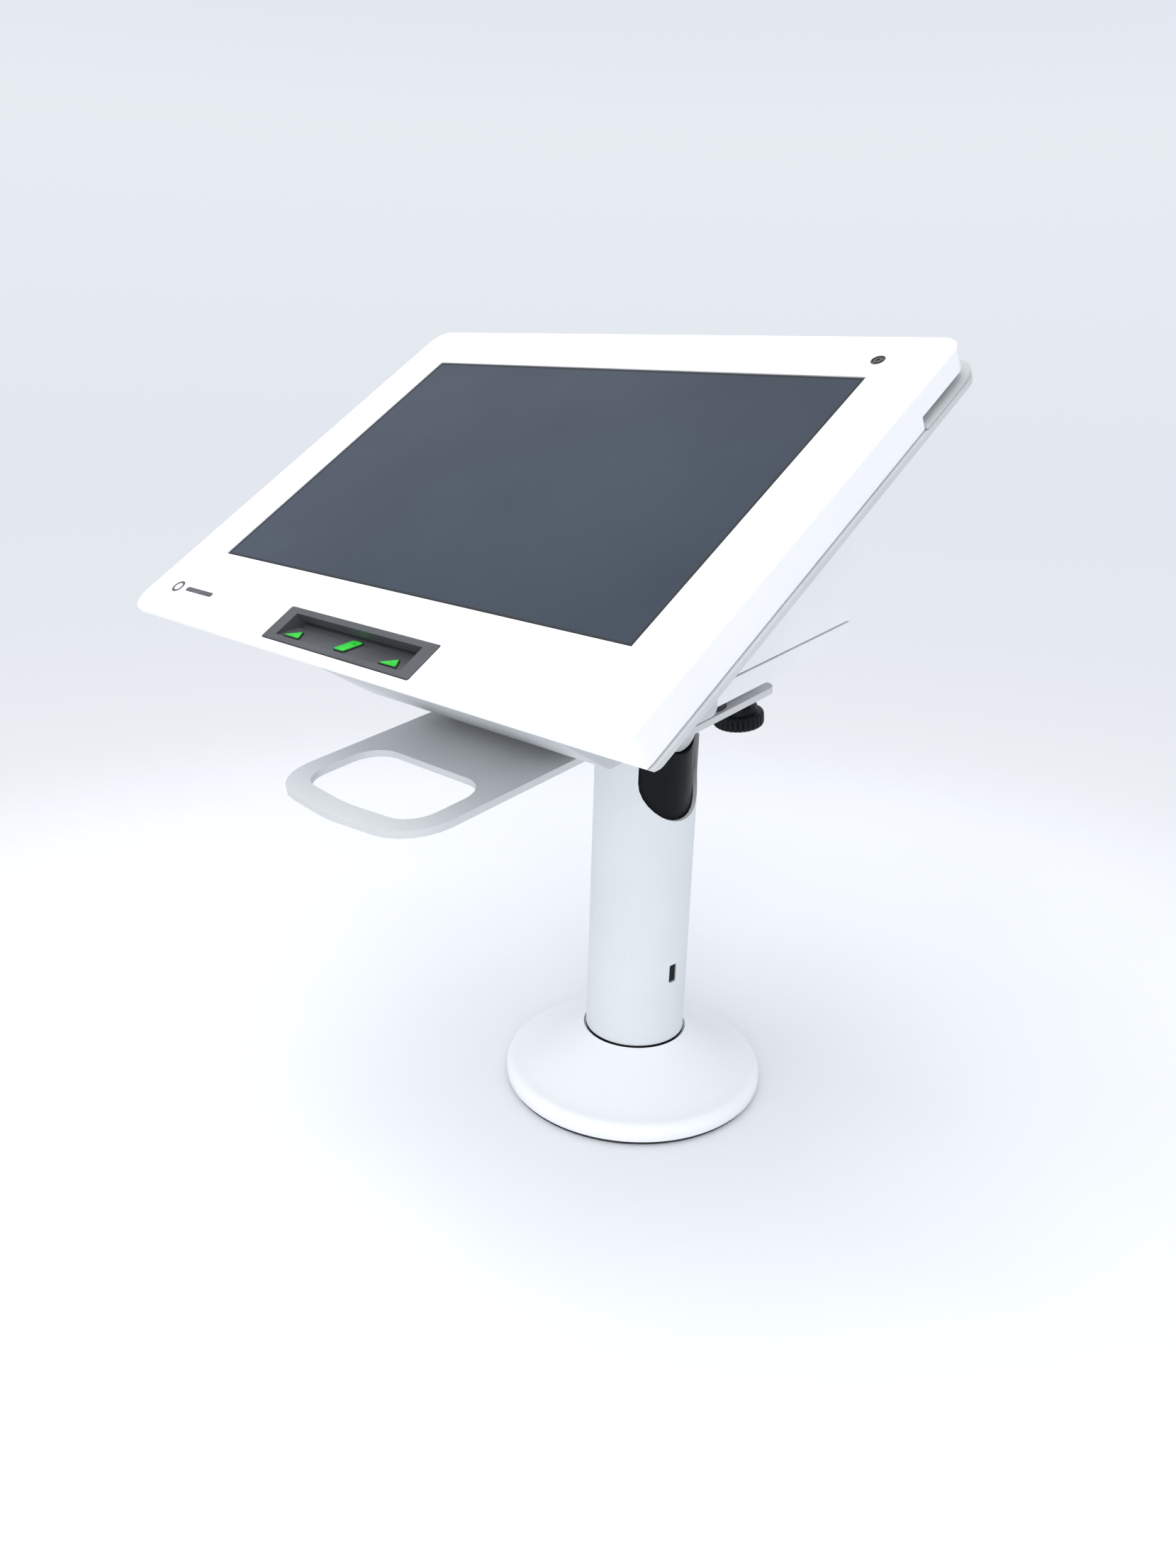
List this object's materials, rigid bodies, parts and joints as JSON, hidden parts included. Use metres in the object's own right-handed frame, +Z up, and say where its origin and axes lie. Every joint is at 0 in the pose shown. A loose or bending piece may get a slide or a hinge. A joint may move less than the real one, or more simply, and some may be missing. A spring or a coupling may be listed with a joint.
{
  "type": "countertop payment terminal",
  "caption": "Wedge-shaped touchscreen payment terminal with rear receipt printer and card readers, on a swivelling and tilting pole stand with a round base.",
  "frame": {"origin": "on the pole's axis at the counter, on the underside of the base pad", "axes": "+Z up along the pole, the screen faces -Y and up, +X to the right of a person facing the screen"},
  "size_m": [0.212, 0.1856, 0.2708],
  "materials": {
    "white_gloss_plastic": "smooth gloss white",
    "white_satin": "fine satin white",
    "white_powder_coat": "satin white powder coat",
    "grey_satin_plastic": "satin light grey",
    "grey_coated_plate": "satin light grey powder coat",
    "light_grey_plastic": "satin grey",
    "dark_grey_plastic": "satin dark grey",
    "black_plastic": "satin black",
    "black_rubber": "matte black",
    "screen_glass": "anti-glare dark touch screen",
    "lens_glass": "polished dark lens",
    "steel": "machined",
    "zinc_plated_steel": "zinc plated",
    "aluminium": "satin",
    "display_frame": "bare metal back of the display",
    "brass": "machined",
    "circuit_board": "green solder mask",
    "green_light": "lit translucent green",
    "paper": "thermal paper"
  },
  "bodies": {
    "stand": {"base_cover": "white_satin", "base_pad": "black_rubber", "base_plate": "zinc_plated_steel", "pole_spigot": "zinc_plated_steel", "spigot_screw_1": "zinc_plated_steel", "spigot_screw_2": "zinc_plated_steel", "spigot_screw_3": "zinc_plated_steel", "latch_spring": "zinc_plated_steel", "pole": "white_powder_coat", "support_collar": "black_plastic"},
    "latch": {"latch_tab": "black_plastic"},
    "swivel": {"swivel_sleeve": "black_plastic"},
    "head": {"tilt_head": "grey_satin_plastic", "tilt_pin": "steel", "friction_washer_left": "steel", "friction_washer_right": "steel", "mount_plate": "grey_coated_plate", "plate_screw_1": "steel", "plate_screw_2": "steel", "plate_screw_3": "steel", "plate_screw_4": "steel", "rubber_foot_1": "black_rubber", "rubber_foot_2": "black_rubber", "rubber_foot_3": "black_rubber", "rubber_foot_4": "black_rubber", "bottom_tray": "white_satin", "front_pod": "grey_satin_plastic", "rear_housing": "white_satin", "port_block": "dark_grey_plastic", "speaker": "dark_grey_plastic", "front_casing": "white_gloss_plastic", "touch_glass": "screen_glass", "lcd_module": "display_frame", "main_board": "circuit_board", "camera_lens": "lens_glass", "camera_module": "black_plastic", "card_reader_trim": "dark_grey_plastic", "card_reader_module": "black_plastic", "light_arrow_left": "green_light", "light_arrow_right": "green_light", "light_card": "green_light", "rear_shell": "grey_satin_plastic", "swipe_liner": "light_grey_plastic", "printer_frame": "dark_grey_plastic", "print_head": "aluminium", "tear_bar": "steel", "lid_hinge_pin": "steel", "idler_pin": "steel", "stepper_motor": "zinc_plated_steel"},
    "knob_left": {"thumb_knob_left": "black_plastic"},
    "knob_right": {"thumb_knob_right": "black_plastic"},
    "lid": {"paper_lid": "white_satin"},
    "platen": {"platen_roller": "black_rubber", "platen_gear": "light_grey_plastic"},
    "idler": {"idler_gear": "light_grey_plastic"},
    "motor_rotor": {"motor_shaft": "steel", "motor_pinion": "brass"},
    "roll": {"paper_roll": "paper"},
    "lid_key": {"lid_button": "light_grey_plastic"},
    "power_key": {"power_button": "light_grey_plastic"}
  },
  "joints": [
    {"name": "latch_press", "type": "slide", "parent": "stand", "child": "latch", "axis": [-0.9972, 0.075, 0], "range_m": [0, 0.002], "stiffness_N_per_m": 400},
    {"name": "swivel_turn", "type": "hinge", "parent": "stand", "child": "swivel", "pos_m": [0, 0, 0.096], "axis": [0, 0, 1], "range_deg": [-170, 170]},
    {"name": "head_tilt", "type": "hinge", "parent": "swivel", "child": "head", "pos_m": [0, 0, 0.144], "axis": [1, 0, 0], "range_deg": [-25, 30]},
    {"name": "knob_left_turn", "type": "hinge", "parent": "head", "child": "knob_left", "pos_m": [-0.0375, 0.00026, 0.1604], "axis": [0, -0.1426, 0.9898], "continuous": true},
    {"name": "knob_right_turn", "type": "hinge", "parent": "head", "child": "knob_right", "pos_m": [0.0375, 0.00026, 0.1604], "axis": [0, -0.1426, 0.9898], "continuous": true},
    {"name": "lid_open", "type": "hinge", "parent": "head", "child": "lid", "pos_m": [0, 0.03668, 0.219], "axis": [-1, 0, 0], "range_deg": [0, 95]},
    {"name": "platen_turn", "type": "hinge", "parent": "lid", "child": "platen", "pos_m": [0, -0.00295, 0.23107], "axis": [1, 0, 0], "continuous": true},
    {"name": "idler_turn", "type": "hinge", "parent": "head", "child": "idler", "pos_m": [0.0339, -0.00969, 0.21801], "axis": [1, 0, 0], "continuous": true},
    {"name": "motor_turn", "type": "hinge", "parent": "head", "child": "motor_rotor", "pos_m": [0.0339, -0.01699, 0.2086], "axis": [1, 0, 0], "continuous": true},
    {"name": "roll_turn", "type": "hinge", "parent": "head", "child": "roll", "pos_m": [0, 0.01626, 0.20292], "axis": [1, 0, 0], "continuous": true},
    {"name": "lid_key_press", "type": "slide", "parent": "head", "child": "lid_key", "axis": [0, 0.1426, -0.9898], "range_m": [0, 0.0015], "stiffness_N_per_m": 300},
    {"name": "power_key_press", "type": "slide", "parent": "head", "child": "power_key", "axis": [1, 0, 0], "range_m": [0, 0.0008], "stiffness_N_per_m": 300}
  ],
  "couplings": [
    {"joint": "idler_turn", "follows": "platen_turn", "ratio": -0.75},
    {"joint": "motor_turn", "follows": "platen_turn", "ratio": 1.8},
    {"joint": "roll_turn", "follows": "platen_turn", "ratio": -0.25}
  ]
}
